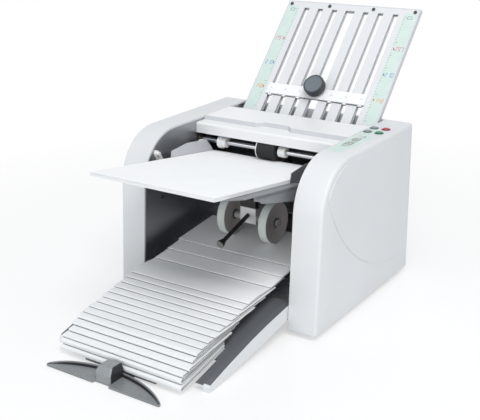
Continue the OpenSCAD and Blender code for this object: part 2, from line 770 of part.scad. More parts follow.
module lower_fold_plate() placed() color("lightgray") on_lower() {
    plate_skin(0, lower_l);
    plate_tray(0, lower_l);
    plate_pins([8, 20]);
}

// Stop bar: rides on the sheet, with one tooth through every slot
module stop_bar(knob_s) difference() {
    union() {
        translate([-stop_w / 2, -stop_bar_d / 2, gap]) cube([stop_w, stop_bar_d, stop_bar_t]);
        slots(-6, 6, plate_depth + 2 * gap, -plate_depth, 0.5);
        translate([0, knob_s, gap]) cylinder(r = 11, h = stop_bar_t);
    }
    for (x = slot_spots) if (x != 0)
        translate([x, 0, gap + 1.2]) cylinder(r = dimple_r, h = stop_bar_t);
    translate([0, knob_s, -plate_depth]) cylinder(r = stem_r + play, h = plate_depth + stop_bar_t + 1);
}

// Clamping knob with finger dish, on its own screw stem
module clamp_knob(r) {
    rotate_extrude($fn = 64) polygon([
        [0, knob_lift], [r * 0.55, knob_lift], [r * 0.62, knob_lift + 4],
        [r - 2, knob_lift + 7], [r, knob_lift + 9],
        [r, knob_lift + knob_h - 2], [r - 2, knob_lift + knob_h], [r * 0.5, knob_lift + knob_h - 1.5],
        [0, knob_lift + knob_h - 2.2]
    ]);
    translate([0, 0, 2 * gap]) cylinder(r = stem_r, h = knob_lift + 1);
}

module upper_stop() placed() color("whitesmoke") on_upper() translate([0, upper_stop_s, 0])
    stop_bar(upper_knob_s - upper_stop_s);
module upper_knob() placed() color("darkslategray") on_upper() translate([0, upper_knob_s, 0])
    clamp_knob(knob_r);
module lower_stop() placed() color("whitesmoke") on_lower() translate([0, lower_stop_s, 0])
    stop_bar(0);
module lower_knob() placed() color("darkslategray") on_lower() translate([0, lower_stop_s, 0])
    clamp_knob(lower_knob_r);

// ---- Top cover ----

// Section of the riser from the ledge up to the top
function riser(edge) = [
    [edge - 3, ledge_z - 0.5], [edge, body_h - 0.8], [edge + 0.8, body_h],
    [edge + cover_t + 2, body_h], [edge + cover_t, body_h - cover_t], [edge, ledge_z - 0.5]
];

module top_cover() placed() color("whitesmoke") {
    across(-cover_x, cover_x) polygon(lip_line);
    for (i = [0:4]) hull() for (p = [cover_outline[i], cover_outline[i + 1]])
        across(min(p[0], cover_x - 0.1), min(p[0], cover_x - 0.1) + 0.1) polygon(riser(p[1]));
    translate([0, 0, body_h - cover_t]) linear_extrude(cover_t) polygon([
        for (p = cover_outline) p + [0, 2.5], [cover_x, hinge_axis[0]], [-cover_x, hinge_axis[0]]
    ]);
    both_sides() across(cover_x - 2, cover_x) polygon([
        each lip_front, [step_y - 3, ledge_z], [step_y, body_h - 0.8], [step_y + 0.8, body_h],
        [hinge_axis[0], body_h], [hinge_axis[0], body_h - 12], [180, body_h - 12], [lip_y + 1.5, lip_low]
    ]);
    rod(hinge_axis, barrel_r, -cover_x, cover_x);
    both_sides() rod(hinge_axis, pin_r, cover_x, inner_x + plate_t - 0.2);
}

// ---- Buttons ----

module button(i) placed() translate([button_spots[i][0], button_spots[i][1], body_h - shell - 6]) {
    cylinder(r = button_r, h = shell + 6 + button_rise - 0.8);
    translate([0, 0, shell + 5.2 + button_rise]) cylinder(r1 = button_r, r2 = button_r - 0.8, h = 0.8);
    translate([0, 0, 3.2]) cylinder(r = button_r + 1.5, h = 2.5);
}

module button_back() color("slategray") button(0);
module button_clear() color("slategray") button(1);
module button_start() color("seagreen") button(2);
module button_stop() color("firebrick") button(3);

// ---- Stacker ----

function along(from, tilt, d) = from + d * [cos(tilt), sin(tilt)];

// Bar along a slope in the Y-Z plane
module sloped_rod(x, from, tilt, r, l)
    translate([x, from[0], from[1]]) rotate([tilt - 90, 0, 0]) cylinder(r = r, h = l);

module stacker_hanger() placed() color("silver") difference() {
    translate([0, hanger_at[0], hanger_at[1]]) rotate([slide_tilt, 0, 0])
        translate([-slide_x - 8, -hanger_l / 2, -7]) cube([2 * slide_x + 16, hanger_l, 32]);
    for (x = [-slide_x, slide_x]) sloped_rod(x, slide_start, slide_tilt, axle_r + play, slide_l);
    rod(hanger_bar, bar_r, -inner_x, inner_x);
}

module stacker_bracket() placed() color("silver") {
    difference() {
        union() {
            translate([-bracket_w / 2, 99.5, 113]) cube([bracket_w, bracket_t, 36]);
            both_sides() translate([bracket_w / 2 - bracket_t, 99.5, 112]) cube([bracket_t, 20, 24]);
            translate([-bracket_w / 2, 99.5, 138]) cube([bracket_w, 8, 14]);
        }
        sloped_rod(0, along(rod_root, rod_tilt, -6), rod_tilt, rod_r, 20);
    }
    for (x = [-slide_x, slide_x]) sloped_rod(x, slide_start, slide_tilt, axle_r, slide_l);
    rod(wheel_axis, axle_r, -(wheel_track + wheel_w) / 2 - collar_l, (wheel_track + wheel_w) / 2 + collar_l);
    both_sides() {
        rod(wheel_axis, collar_r, bracket_w / 2, (wheel_track - wheel_w) / 2 - gap);
        rod(wheel_axis, collar_r, (wheel_track + wheel_w) / 2 + gap, (wheel_track + wheel_w) / 2 + collar_l);
    }
}

module pull_rod() placed() color("black") {
    sloped_rod(0, along(rod_root, rod_tilt, -rod_front_l), rod_tilt, rod_r, rod_front_l + 3);
    sloped_rod(0, along(rod_root, rod_tilt, -rod_front_l - 3), rod_tilt, 6, 4);
    sloped_rod(0, along(rod_root, rod_tilt, -rod_front_l + 1), rod_tilt, 4.5, 5);
}

// Wheel with a tyre round a slightly sunk disc and a hub, bored for the axle
module wheel(x)
    translate([x, wheel_axis[0], wheel_axis[1]]) rotate([0, 90, 0]) rotate_extrude($fn = 96) polygon([
        for (p = wheel_half) p, for (k = [len(wheel_half) - 1:-1:0]) [wheel_half[k][0], -wheel_half[k][1]]
    ]);

module wheel_left() placed() color("honeydew") wheel(-wheel_track / 2);
module wheel_right() placed() color("honeydew") wheel(wheel_track / 2);

// ---- Delivery tray ----

module tray_rails() placed() color("lightgray") both_sides()
    across(tray_w / 2 - rail_w, tray_w / 2) polygon([
        [arm_front, 0], [arm_front + 4, 0], [-120, 7], [-60, 14], [tray_back, 26],
        [tray_back, 46], [-5, 44], [-50, 38.5], [-91, 32], [-139, 22], [-165, 16],
        [arm_front + 3, 10.5], [arm_front, 8]
    ]);

module tray_deck() placed() color("dimgray") {
    difference() {
        across(-tray_w / 2 + rail_w, tray_w / 2 - rail_w) polygon(strip(deck_line, deck_t));
        both_sides() translate([tongue_w / 2, -240, -cut]) cube([109 - tongue_w / 2, 100, 60]);
        both_sides() translate([108, -240, -cut]) cube([40, 240 + arm_front, 60]);
    }
    for (x = [-40, 40]) across(x - 1.5, x + 1.5) polygon([
        [-150, deck_z(-150)], [-150, 13], [-60, 22], [16, 32], [16, deck_z(16)], [-118, deck_z(-118)]
    ]);
    both_sides() translate([runner_w / 2 + gap, -205, 0.2]) cube([3, 20, 5]);
}

// Segment of a disc, with a shallow notch in its front edge
module wing_shape() difference() {
    intersection() {
        translate([-wing_w / 2, -stop_reach]) square([wing_w, wing_d]);
        translate([0, -stop_reach + wing_d - wing_round]) circle(r = wing_round, $fn = 180);
    }
    translate([0, -stop_reach]) polygon([
        [-wing_notch_w / 2, -cut], [wing_notch_w / 2, -cut],
        [wing_notch_w / 2 - 8, wing_notch_d], [8 - wing_notch_w / 2, wing_notch_d]
    ]);
}

module tray_stop() placed() color("dimgray") {
    translate([-runner_w / 2, -stop_reach + 6, 0.4]) cube([runner_w, 132, runner_t]);
    translate([0, 0, 0.4]) linear_extrude(2.6) wing_shape();
    translate([0, 0, 3]) linear_extrude(6) difference() {
        wing_shape();
        translate([0, -stop_reach + wing_d - wing_round]) circle(r = wing_round - 2.5, $fn = 180);
        translate([-wing_w / 2, -stop_reach - cut]) square([wing_w, 6]);
    }
    across(-block_w / 2, block_w / 2) polygon([for (p = block_line) [p[0] - stop_reach, p[1]]]);
}

module folded_sheet(front, tilt) translate([-sheet_w / 2, front[0], front[1]]) rotate([tilt, 0, 0])
    cube([sheet_w, folded_l - 1, folded_t]);

module puffed_sheet(i) {
    y0 = pile_at(i)[0];
    y1 = y0 + folded_l - 1;
    across(-sheet_w / 2, sheet_w / 2) polygon([
        [y0, pile_under(i, y0)], [y0, pile_under(i + 1, y0) - gap],
        [y1, pile_under(i + 1, y1) - gap], [y1, pile_under(i, y1)]
    ]);
}

module folded_sheets() placed() color("white") {
    for (i = [0:pile_count - 2]) puffed_sheet(i);
    folded_sheet(pile_at(pile_count - 1), pile_slope(pile_count - 1));
    for (k = [0:len(top_fronts) - 1]) folded_sheet([top_fronts[k], top_z(k)], top_tilt);
}

left_housing();
right_housing();
left_side_plate();
right_side_plate();
base_pan();
rear_cover();
feet();
tie_bars();
display_window();
motor();
drive_belt();
mains_inlet();
paper_guides();
feed_table();
separation_pad();
upper_plate_front();
upper_plate_frame();
plate_screws();
lower_fold_plate();
tray_rails();
tray_deck();
shaft_bearings();
stacker_hanger();
folded_sheets();
feed_shaft();
feed_roller();
shaft_bushes();
feed_gear();
fold_roller_1();
fold_roller_2();
fold_roller_3();
fold_roller_4();
fold_gear_1();
fold_gear_2();
fold_gear_3();
fold_gear_4();
idler_gear();
motor_pulley();
stacker_bracket();
pull_rod();
wheel_left();
wheel_right();
upper_stop();
upper_knob();
lower_stop();
lower_knob();
top_cover();
button_back();
button_clear();
button_start();
button_stop();
power_switch();
left_guide();
right_guide();
left_guide_knob();
right_guide_knob();
table_lever();
tray_stop();
feed_paper();
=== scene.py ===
import json
import math
import random

import bmesh
import bpy
from mathutils import Matrix, Vector

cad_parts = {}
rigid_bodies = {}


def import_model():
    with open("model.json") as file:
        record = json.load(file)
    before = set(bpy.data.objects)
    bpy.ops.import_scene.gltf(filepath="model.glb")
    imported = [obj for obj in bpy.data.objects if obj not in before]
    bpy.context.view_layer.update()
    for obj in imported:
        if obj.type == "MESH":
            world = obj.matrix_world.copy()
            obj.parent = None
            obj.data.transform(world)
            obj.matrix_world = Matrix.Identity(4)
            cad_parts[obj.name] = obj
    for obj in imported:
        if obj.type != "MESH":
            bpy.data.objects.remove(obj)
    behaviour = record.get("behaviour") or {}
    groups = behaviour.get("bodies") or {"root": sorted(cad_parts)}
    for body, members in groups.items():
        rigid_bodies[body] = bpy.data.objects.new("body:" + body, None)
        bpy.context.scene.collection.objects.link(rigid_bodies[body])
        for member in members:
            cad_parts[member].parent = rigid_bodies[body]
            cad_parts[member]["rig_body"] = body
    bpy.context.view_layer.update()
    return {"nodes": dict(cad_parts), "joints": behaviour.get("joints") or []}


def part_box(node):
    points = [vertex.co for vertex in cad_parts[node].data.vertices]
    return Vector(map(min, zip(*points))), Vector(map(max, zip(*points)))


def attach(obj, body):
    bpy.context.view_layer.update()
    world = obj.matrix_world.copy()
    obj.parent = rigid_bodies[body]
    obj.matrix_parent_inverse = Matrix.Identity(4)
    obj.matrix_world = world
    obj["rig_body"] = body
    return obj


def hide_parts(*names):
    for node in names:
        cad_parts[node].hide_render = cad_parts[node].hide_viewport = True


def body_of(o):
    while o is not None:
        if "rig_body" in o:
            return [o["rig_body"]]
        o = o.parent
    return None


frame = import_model()
NODES = frame["nodes"]
JOINTS = {joint["name"]: joint for joint in frame["joints"]}
MM = 0.001

# ---- Camera ----

CAMERA_AT = Vector((0.75548, -1.11965, 0.63006))
CAMERA_YAW, CAMERA_PITCH, CAMERA_ROLL = map(math.radians, (34.37, 20.07, -0.97))
CAMERA_LENS = 70.345
CAMERA_SENSOR = 36


def make_camera():
    yaw, pitch, roll = CAMERA_YAW, CAMERA_PITCH, CAMERA_ROLL
    ahead = Vector((-math.sin(yaw) * math.cos(pitch), math.cos(yaw) * math.cos(pitch), -math.sin(pitch)))
    level = Vector((math.cos(yaw), math.sin(yaw), 0))
    rise = level.cross(ahead)
    right = level * math.cos(roll) + rise * math.sin(roll)
    up = rise * math.cos(roll) - level * math.sin(roll)
    data = bpy.data.cameras.new("camera")
    data.lens, data.sensor_width, data.sensor_fit = CAMERA_LENS, CAMERA_SENSOR, "HORIZONTAL"
    camera = bpy.data.objects.new("camera", data)
    camera.matrix_world = Matrix((right, up, -ahead)).transposed().to_4x4()
    camera.location = CAMERA_AT
    bpy.context.scene.collection.objects.link(camera)
    bpy.context.scene.camera = camera


# ---- Materials ----


def linear(*levels):
    """Colour as it is seen, 0 to 255, to the shader's linear values."""
    return tuple(
        (v / 255 / 12.92) if v < 10.3 else ((v / 255 + 0.055) / 1.055) ** 2.4 for v in levels
    ) + (1,)


class Finish:
    """One node material: a shader, and noises on the piece's own coordinates."""

    def __init__(self, name, colour, rough, metal=0.0, **sockets):
        self.made = bpy.data.materials.new(name)
        self.made.use_nodes = True
        self.tree = self.made.node_tree
        self.shader = self.tree.nodes["Principled BSDF"]
        self.colour = linear(*colour)
        self.rough = rough
        self.shader.inputs["Base Color"].default_value = self.colour
        self.shader.inputs["Roughness"].default_value = rough
        self.shader.inputs["Metallic"].default_value = metal
        for socket, value in sockets.items():
            self.shader.inputs[socket.replace("_", " ")].default_value = value
        self.place = self.add("ShaderNodeTexCoord").outputs["Object"]
        self.made.diffuse_color = self.colour

    def add(self, kind, **facts):
        node = self.tree.nodes.new(kind)
        for name, value in facts.items():
            setattr(node, name, value)
        return node

    def link(self, a, b):
        self.tree.links.new(a, b)

    def stretched(self, stretch):
        mapping = self.add("ShaderNodeMapping")
        mapping.inputs["Scale"].default_value = stretch
        self.link(self.place, mapping.inputs["Vector"])
        return mapping.outputs["Vector"]

    def noise(self, scale, detail=3.0, stretch=None):
        node = self.add("ShaderNodeTexNoise")
        node.inputs["Scale"].default_value = scale
        node.inputs["Detail"].default_value = detail
        self.link(self.stretched(stretch) if stretch else self.place, node.inputs["Vector"])
        return node.outputs["Fac"]

    def ranged(self, source, low, high, lo_in=0.3, hi_in=0.7):
        node = self.add("ShaderNodeMapRange")
        for name, value in (("From Min", lo_in), ("From Max", hi_in), ("To Min", low), ("To Max", high)):
            node.inputs[name].default_value = value
        self.link(source, node.inputs["Value"])
        return node.outputs["Result"]

    def mixed(self, factor, a, b):
        node = self.add("ShaderNodeMix", data_type="RGBA")
        for socket, value in ((node.inputs[6], a), (node.inputs[7], b)):
            if isinstance(value, tuple):
                socket.default_value = value
            else:
                self.link(value, socket)
        self.link(factor, node.inputs[0])
        return node.outputs[2]

    def mottle(self, scale, spread, stretch=None):
        """Slow drift of the colour, spread of its level either way."""
        low = tuple(c * (1 - spread) for c in self.colour[:3]) + (1,)
        high = tuple(min(1, c * (1 + spread)) for c in self.colour[:3]) + (1,)
        drift = self.ranged(self.noise(scale, 4, stretch), 0, 1)
        self.link(self.mixed(drift, low, high), self.shader.inputs["Base Color"])
        return self

    def banded(self, axis, low, high, colour):
        """Another colour beyond a level on the piece's own axis, in metres."""
        split = self.add("ShaderNodeSeparateXYZ")
        self.link(self.place, split.inputs[0])
        source = self.shader.inputs["Base Color"].links[0].from_socket
        share = self.ranged(split.outputs[axis], 0, 1, low, high)
        self.link(self.mixed(share, source, linear(*colour)), self.shader.inputs["Base Color"])
        return self

    def painted_crevice_shade(self, reach, colour):
        """Painted shade where the surface closes in on itself, reach in millimetres."""
        open_share = self.add("ShaderNodeAmbientOcclusion")
        open_share.inputs["Distance"].default_value = reach * MM
        source = self.shader.inputs["Base Color"].links[0].from_socket
        share = self.ranged(open_share.outputs["AO"], 0, 1, 0.3, 0.85)
        self.link(self.mixed(share, linear(*colour), source), self.shader.inputs["Base Color"])
        return self

    def sheen_drift(self, scale, spread, stretch=None):
        """Uneven gloss."""
        low, high = max(0.02, self.rough - spread), min(1, self.rough + spread)
        self.link(self.ranged(self.noise(scale, 3, stretch), low, high), self.shader.inputs["Roughness"])
        return self

    def relief(self, scale, height, strength=0.5, detail=2.0, stretch=None):
        """Fine grain, height in millimetres."""
        bump = self.add("ShaderNodeBump")
        bump.inputs["Strength"].default_value = strength
        bump.inputs["Distance"].default_value = height * MM
        self.link(self.noise(scale, detail, stretch), bump.inputs["Height"])
        self.link(bump.outputs["Normal"], self.shader.inputs["Normal"])
        return self


PILE_SHADE_BAND = (-0.26, -0.08)          # Y over which the pile's paper goes from painted shade at the front to its lighter colour
BRACKET_SHADE_ABOVE = (0.1375, 0.139)   # Z over which the bracket's steel turns to painted shade, the shadow under the feed table


def moulded(name, colour, rough=0.42):
    finish = Finish(name, colour, rough).mottle(9, 0.02)
    return finish.sheen_drift(140, 0.05).relief(1900, 0.05).made


def painted(name, colour, rough=0.34):
    finish = Finish(name, colour, rough).mottle(6, 0.02)
    return finish.sheen_drift(60, 0.05).relief(700, 0.04, 0.3).made


def brushed(name, colour, rough=0.3, stretch=(3, 60, 60)):
    finish = Finish(name, colour, rough, 1.0).mottle(14, 0.08, stretch)
    return finish.sheen_drift(20, 0.08, stretch).relief(40, 0.03, 0.35, 3, stretch).made


def rubbery(name, colour, rough=0.7):
    return Finish(name, colour, rough).mottle(40, 0.12).sheen_drift(90, 0.08).relief(1400, 0.09, 0.7).made


def paper(name, colour):
    finish = Finish(name, colour, 0.85).mottle(22, 0.012)
    return finish.sheen_drift(200, 0.05).relief(2600, 0.03, 0.5, 4).made


def letter_paper(name, colour, top_colour):
    """Paper with painted shade: darker towards the front of the pile and in its folds."""
    finish = Finish(name, colour, 0.85).mottle(22, 0.012).banded("Y", *PILE_SHADE_BAND, top_colour)
    return finish.painted_crevice_shade(1.8, (150, 152, 156)).sheen_drift(200, 0.05).relief(2600, 0.03).made


def bracket_steel_painted_shade(name, colour, shade_colour):
    """Steel with painted shade above a level, for the shadow under the feed table."""
    finish = Finish(name, colour, 0.4, 0.6).mottle(20, 0.05).banded("Z", *BRACKET_SHADE_ABOVE, shade_colour)
    return finish.sheen_drift(30, 0.06).relief(60, 0.03, 0.3).made


def milky(name, colour):
    finish = Finish(name, colour, 0.35, Subsurface_Weight=0.25, Subsurface_Scale=0.004)
    return finish.mottle(30, 0.03).sheen_drift(120, 0.06).relief(1200, 0.03, 0.3).made


def clear_grey(name, colour, alpha):
    finish = Finish(name, colour, 0.22, Alpha=alpha)
    return finish.mottle(18, 0.05).sheen_drift(60, 0.06).relief(300, 0.03, 0.2).made


def printed(name, colour):
    return Finish(name, colour, 0.5).mottle(60, 0.03).sheen_drift(150, 0.06).relief(1500, 0.02, 0.3).made


def lacquered(name, colour):
    finish = Finish(name, colour, 0.12, Coat_Weight=0.6).mottle(30, 0.06)
    return finish.sheen_drift(80, 0.04).relief(90, 0.01, 0.2).made


HOUSING = moulded("housing", (221, 223, 225))
COVER = moulded("cover", (238, 239, 240), 0.38)
# Painted shade on the riser of the top cover's step
COVER_STEP_SHADE = moulded("cover_step", (196, 199, 203), 0.45)
SIDE_METAL = brushed("side_metal", (176, 179, 183), 0.38, (60, 4, 60))
INNER_METAL = brushed("inner_metal", (168, 171, 175), 0.33)
BRIGHT_STEEL = brushed("bright_steel", (205, 207, 210), 0.16, (60, 8, 8))
PLATE_WHITE = painted("plate_white", (222, 224, 226))
STOP_WHITE = painted("stop_white", (243, 244, 245))
PLATE_GREY = painted("plate_grey", (206, 209, 212))
SCREW_DARK = brushed("screw_dark", (96, 98, 100), 0.4)
TABLE_GREY = painted("table_grey", (128, 131, 135))
# The apron's own light colour, raised further as painted light to lift its shaded faces
APRON_LIGHT = moulded("apron_light", (248, 249, 250))
RAIL_WHITE = moulded("rail_white", (222, 224, 226))
DECK_DARK = painted("deck_dark", (98, 101, 106), 0.4)
WING_GREY = moulded("wing_grey", (126, 130, 133), 0.3)
BLOCK_GREY = moulded("block_grey", (138, 142, 145), 0.28)
# Painted shade for the end stop's groove and for the right face of its block
PAINTED_SHADE_DARK = moulded("painted_shade_dark", (34, 35, 38), 0.5)
RUBBER = rubbery("rubber", (30, 31, 34))
ROLLER_GREY = rubbery("roller_grey", (70, 73, 78), 0.6)
FOOT_RUBBER = rubbery("foot_rubber", (52, 54, 58))
PAPER = paper("paper", (246, 247, 248))
# Painted shade on the folded letters: darker at the pile's front and in the folds
LETTER_PAPER = letter_paper("letter_paper", (232, 234, 235), (249, 250, 250))
ROD_CAP = moulded("rod_cap", (122, 126, 122), 0.4)
NYLON = milky("nylon", (238, 239, 239))
GEAR_IVORY = milky("gear_ivory", (232, 230, 222))
BRASS = brushed("bearing_bronze", (104, 96, 84), 0.45)
HANGER_DARK = painted("hanger_dark", (58, 56, 57), 0.45)
# Painted shade on the bracket's upper part, for the shadow under the feed table
BRACKET_STEEL = bracket_steel_painted_shade("bracket_steel_painted_shade", (214, 214, 214), (52, 50, 50))
GUIDE_CLEAR = clear_grey("guide_clear", (206, 207, 212), 0.85)
# The right guide is drawn in a darker grey than the left one
RIGHT_GUIDE_DARKER = clear_grey("right_guide_darker", (104, 107, 112), 0.92)
KNOB_SLATE = moulded("knob_slate", (50, 54, 58), 0.36)
# Painted light: the knob's dished top is lighter than its grip, for the light falling on it
KNOB_DISH_LIT = moulded("knob_dish_lit", (104, 113, 120), 0.4)
ROD_BLACK = painted("rod_black", (38, 38, 41), 0.3)
WHEEL_RIM = moulded("wheel_rim", (214, 222, 217), 0.5)
WHEEL_FACE = moulded("wheel_face", (176, 170, 167), 0.6)
HUB_DARK = moulded("hub_dark", (66, 68, 72), 0.5)
CORK = rubbery("pad_cork", (84, 72, 64), 0.85)
BLACK_PLASTIC = moulded("black_plastic", (28, 28, 30), 0.4)
DISPLAY = lacquered("display", (186, 200, 190))
SEGMENT = printed("segment", (44, 52, 50))
KEY_GREY = moulded("key_grey", (124, 132, 140), 0.35)
KEY_GREEN = moulded("key_green", (30, 120, 84), 0.35)
KEY_RED = moulded("key_red", (170, 38, 44), 0.35)
LABEL_GREEN = printed("label_green", (207, 224, 217))
# Dark ink for the scale marks, and painted shadow under the stop bar
INK_AND_SHADOW_DARK = printed("ink_and_shadow_dark", (70, 78, 80))
INK_MAGENTA = printed("ink_magenta", (206, 52, 104))
INK_BLUE = printed("ink_blue", (60, 128, 184))
INK_ORANGE = printed("ink_orange", (232, 124, 34))

NODE_FINISH = {
    HOUSING: ["left_housing", "right_housing", "rear_cover"],
    COVER: ["top_cover"],
    SIDE_METAL: ["left_side_plate", "right_side_plate"],
    INNER_METAL: ["base_pan", "tie_bars", "motor", "paper_guides"],
    BRACKET_STEEL: ["stacker_bracket"],
    HANGER_DARK: ["stacker_hanger"],
    BRIGHT_STEEL: ["feed_shaft", "motor_pulley"],
    SCREW_DARK: ["plate_screws"],
    PLATE_WHITE: ["upper_plate_front"],
    STOP_WHITE: ["upper_stop", "lower_stop"],
    PLATE_GREY: ["upper_plate_frame", "lower_fold_plate"],
    TABLE_GREY: ["feed_table"],
    RAIL_WHITE: ["tray_rails"],
    DECK_DARK: ["tray_deck"],
    WING_GREY: ["tray_stop"],
    RUBBER: ["feed_roller", "drive_belt"],
    ROLLER_GREY: ["fold_roller_1", "fold_roller_2", "fold_roller_3", "fold_roller_4"],
    FOOT_RUBBER: ["feet"],
    PAPER: ["feed_paper", "folded_sheets"],
    NYLON: ["shaft_bushes", "left_guide_knob", "right_guide_knob", "table_lever"],
    GEAR_IVORY: ["feed_gear", "fold_gear_1", "fold_gear_2", "fold_gear_3", "fold_gear_4", "idler_gear"],
    BRASS: ["shaft_bearings"],
    GUIDE_CLEAR: ["left_guide"],
    RIGHT_GUIDE_DARKER: ["right_guide"],
    KNOB_SLATE: ["upper_knob", "lower_knob"],
    ROD_BLACK: ["pull_rod"],
    WHEEL_RIM: ["wheel_left", "wheel_right"],
    CORK: ["separation_pad"],
    BLACK_PLASTIC: ["mains_inlet", "power_switch"],
    DISPLAY: ["display_window"],
    KEY_GREY: ["button_back", "button_clear"],
    KEY_GREEN: ["button_start"],
    KEY_RED: ["button_stop"],
}
SHARP_ANGLE = math.radians(34)


# The faces of a node that get a second finish, told by their place in metres and the way they look


def on_apron(face):
    return abs(face.center.x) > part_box("feed_table")[1].x - 0.0035 and face.normal.z < 0.5


# The riser of the top cover's step, which gets painted shade
def on_cover_step(face):
    return face.center.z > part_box("top_cover")[1].z - 0.0058 and face.normal.z < 0.75


def on_rail_top(face):
    return face.normal.z > 0.5 and face.center.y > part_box("tray_rails")[0].y + 0.006


def on_arm_end(face):
    return face.normal.y < -0.7 and abs(face.center.x) > 0.1


def on_rod_end(face):
    return face.normal.y < -0.8


FACE_FINISH = (
    ("feed_table", APRON_LIGHT, on_apron), ("top_cover", COVER_STEP_SHADE, on_cover_step),
    ("tray_rails", DECK_DARK, on_rail_top), ("tray_deck", RAIL_WHITE, on_arm_end),
    ("pull_rod", ROD_CAP, on_rod_end))
FLAT_NODES = ("top_cover",)


def shade(mesh, smooth):
    mesh.polygons.foreach_set("use_smooth", [smooth] * len(mesh.polygons))


def dress_faces():
    """Gives some faces of a carried-over node a second finish."""
    for name, finish, chosen in FACE_FINISH:
        mesh = NODES[name].data
        mesh.materials.append(finish)
        for face in mesh.polygons:
            if chosen(face):
                face.material_index = 1


def dress_nodes():
    """Gives every carried-over node its finish, and smooth shading between its sharp edges."""
    for finish, names in NODE_FINISH.items():
        for name in names:
            node = NODES[name]
            node.data.materials.clear()
            node.data.materials.append(finish)
            shade(node.data, name not in FLAT_NODES)
            weld = node.modifiers.new("weld", "WELD")
            weld.merge_threshold = 0.01 * MM
            split = node.modifiers.new("edges", "EDGE_SPLIT")
            split.split_angle = SHARP_ANGLE
            split.use_edge_sharp = False


# ---- Mesh tools ----


def new_object(name, points, faces, finish, smooth=True):
    mesh = bpy.data.meshes.new(name)
    mesh.from_pydata([tuple(p) for p in points], [], faces)
    mesh.validate()
    tidy = bmesh.new()
    tidy.from_mesh(mesh)
    bmesh.ops.remove_doubles(tidy, verts=tidy.verts, dist=0.002 * MM)
    bmesh.ops.recalc_face_normals(tidy, faces=tidy.faces)
    tidy.to_mesh(mesh)
    tidy.free()
    shade(mesh, smooth)
    mesh.materials.append(finish)
    made = bpy.data.objects.new(name, mesh)
    bpy.context.scene.collection.objects.link(made)
    return made


def soften(piece, width):
    """Rounds the piece's sharp edges, width in millimetres."""
    bevel = piece.modifiers.new("edges", "BEVEL")
    bevel.width, bevel.segments = width * MM, 3
    bevel.limit_method, bevel.angle_limit = "ANGLE", SHARP_ANGLE
    even = piece.modifiers.new("even", "WEIGHTED_NORMAL")
    even.keep_sharp = True
    return piece


def sharpen(piece, angle=34):
    split = piece.modifiers.new("edges", "EDGE_SPLIT")
    split.split_angle = math.radians(angle)
    split.use_edge_sharp = False
    return piece


def finish_piece(piece, body, slot, *replaced):
    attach(piece, body)
    if replaced:
        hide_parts(*replaced)
    return piece


class Place:
    """A local frame: along and out are unit vectors square to each other, side completes them."""

    def __init__(self, origin, side, along, out):
        self.origin, self.side, self.along, self.out = (Vector(v) for v in (origin, side, along, out))

    def at(self, x, s, n):
        return self.origin + self.side * (x * MM) + self.along * (s * MM) + self.out * (n * MM)


def bridged(rings, capped=True):
    """Points and faces of a skin over rings that have the same number of points."""
    count = len(rings[0])
    points = [p for ring in rings for p in ring]
    faces = []
    for i in range(len(rings) - 1):
        for k in range(count):
            a, b = i * count + k, i * count + (k + 1) % count
            faces.append((a, b, b + count, a + count))
    if capped:
        faces.append(tuple(range(count)))
        faces.append(tuple(range(len(points) - count, len(points))))
    return points, faces


def lathe(name, place, profile, finish, turns=72, flutes=0, flute_depth=0.0, capped=True):
    """Turns a profile of (radius, height) round the place's out direction."""
    rings = []
    rim = 0.8 * max(p[0] for p in profile)
    for r, h in profile:
        ring = []
        for k in range(turns):
            a = 2 * math.pi * k / turns
            cut = flute_depth * (0.5 - 0.5 * math.cos(flutes * a)) if r > rim else 0
            ring.append(place.at((r - cut) * math.cos(a), (r - cut) * math.sin(a), h))
        rings.append(ring)
    return new_object(name, *bridged(rings, capped=capped), finish)


def prism(name, place, outline, low, high, finish):
    """A flat outline in the place's x and s, from height low to high."""
    rings = [[place.at(x, s, h) for x, s in outline] for h in (low, high)]
    return new_object(name, *bridged(rings), finish, smooth=False)


# Faces of a box whose lower four corners come before its upper four
BOX_FACES = ((0, 3, 2, 1), (4, 5, 6, 7), (0, 1, 5, 4), (1, 2, 6, 5), (2, 3, 7, 6), (3, 0, 4, 7))


def rectangle(x0, s0, x1, s1):
    return (x0, s0), (x1, s0), (x1, s1), (x0, s1)


def joined(skins):
    """One skin of points and faces from many."""
    points, faces = [], []
    for skin_points, skin_faces in skins:
        base = len(points)
        points += skin_points
        faces += [tuple(base + k for k in face) for face in skin_faces]
    return points, faces


def tiles(name, place, rectangles, low, high, finish):
    """Many small flat bars in one piece, each (x0, s0, x1, s1)."""
    skins = []
    for sides in rectangles:
        points = [place.at(x, s, h) for h in (low, high) for x, s in rectangle(*sides)]
        skins.append((points, BOX_FACES))
    return new_object(name, *joined(skins), finish, smooth=False)


def mirrored(profile):
    """A profile of (radius, height) and its mirror image below."""
    return profile + [(r, -h) for r, h in reversed(profile)]


def span(node, axis):
    """Lowest and highest reach of a node along a unit axis, in metres from the origin."""
    reach = [v.co.dot(axis) for v in NODES[node].data.vertices]
    return min(reach), max(reach)


def middle(node):
    low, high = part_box(node)
    return (low + high) / 2


def axle_place(node):
    """Where a wheel or a roller sits, with its radius and half its width in millimetres."""
    low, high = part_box(node)
    place = Place((low + high) / 2, (0, 1, 0), (0, 0, 1), (1, 0, 0))
    return place, (high.z - low.z) / 2 / MM, (high.x - low.x) / 2 / MM


def joint_axis(name):
    return Vector(JOINTS[name]["axis"]).normalized()


def joint_point(name):
    return Vector(JOINTS[name]["pos_m"])


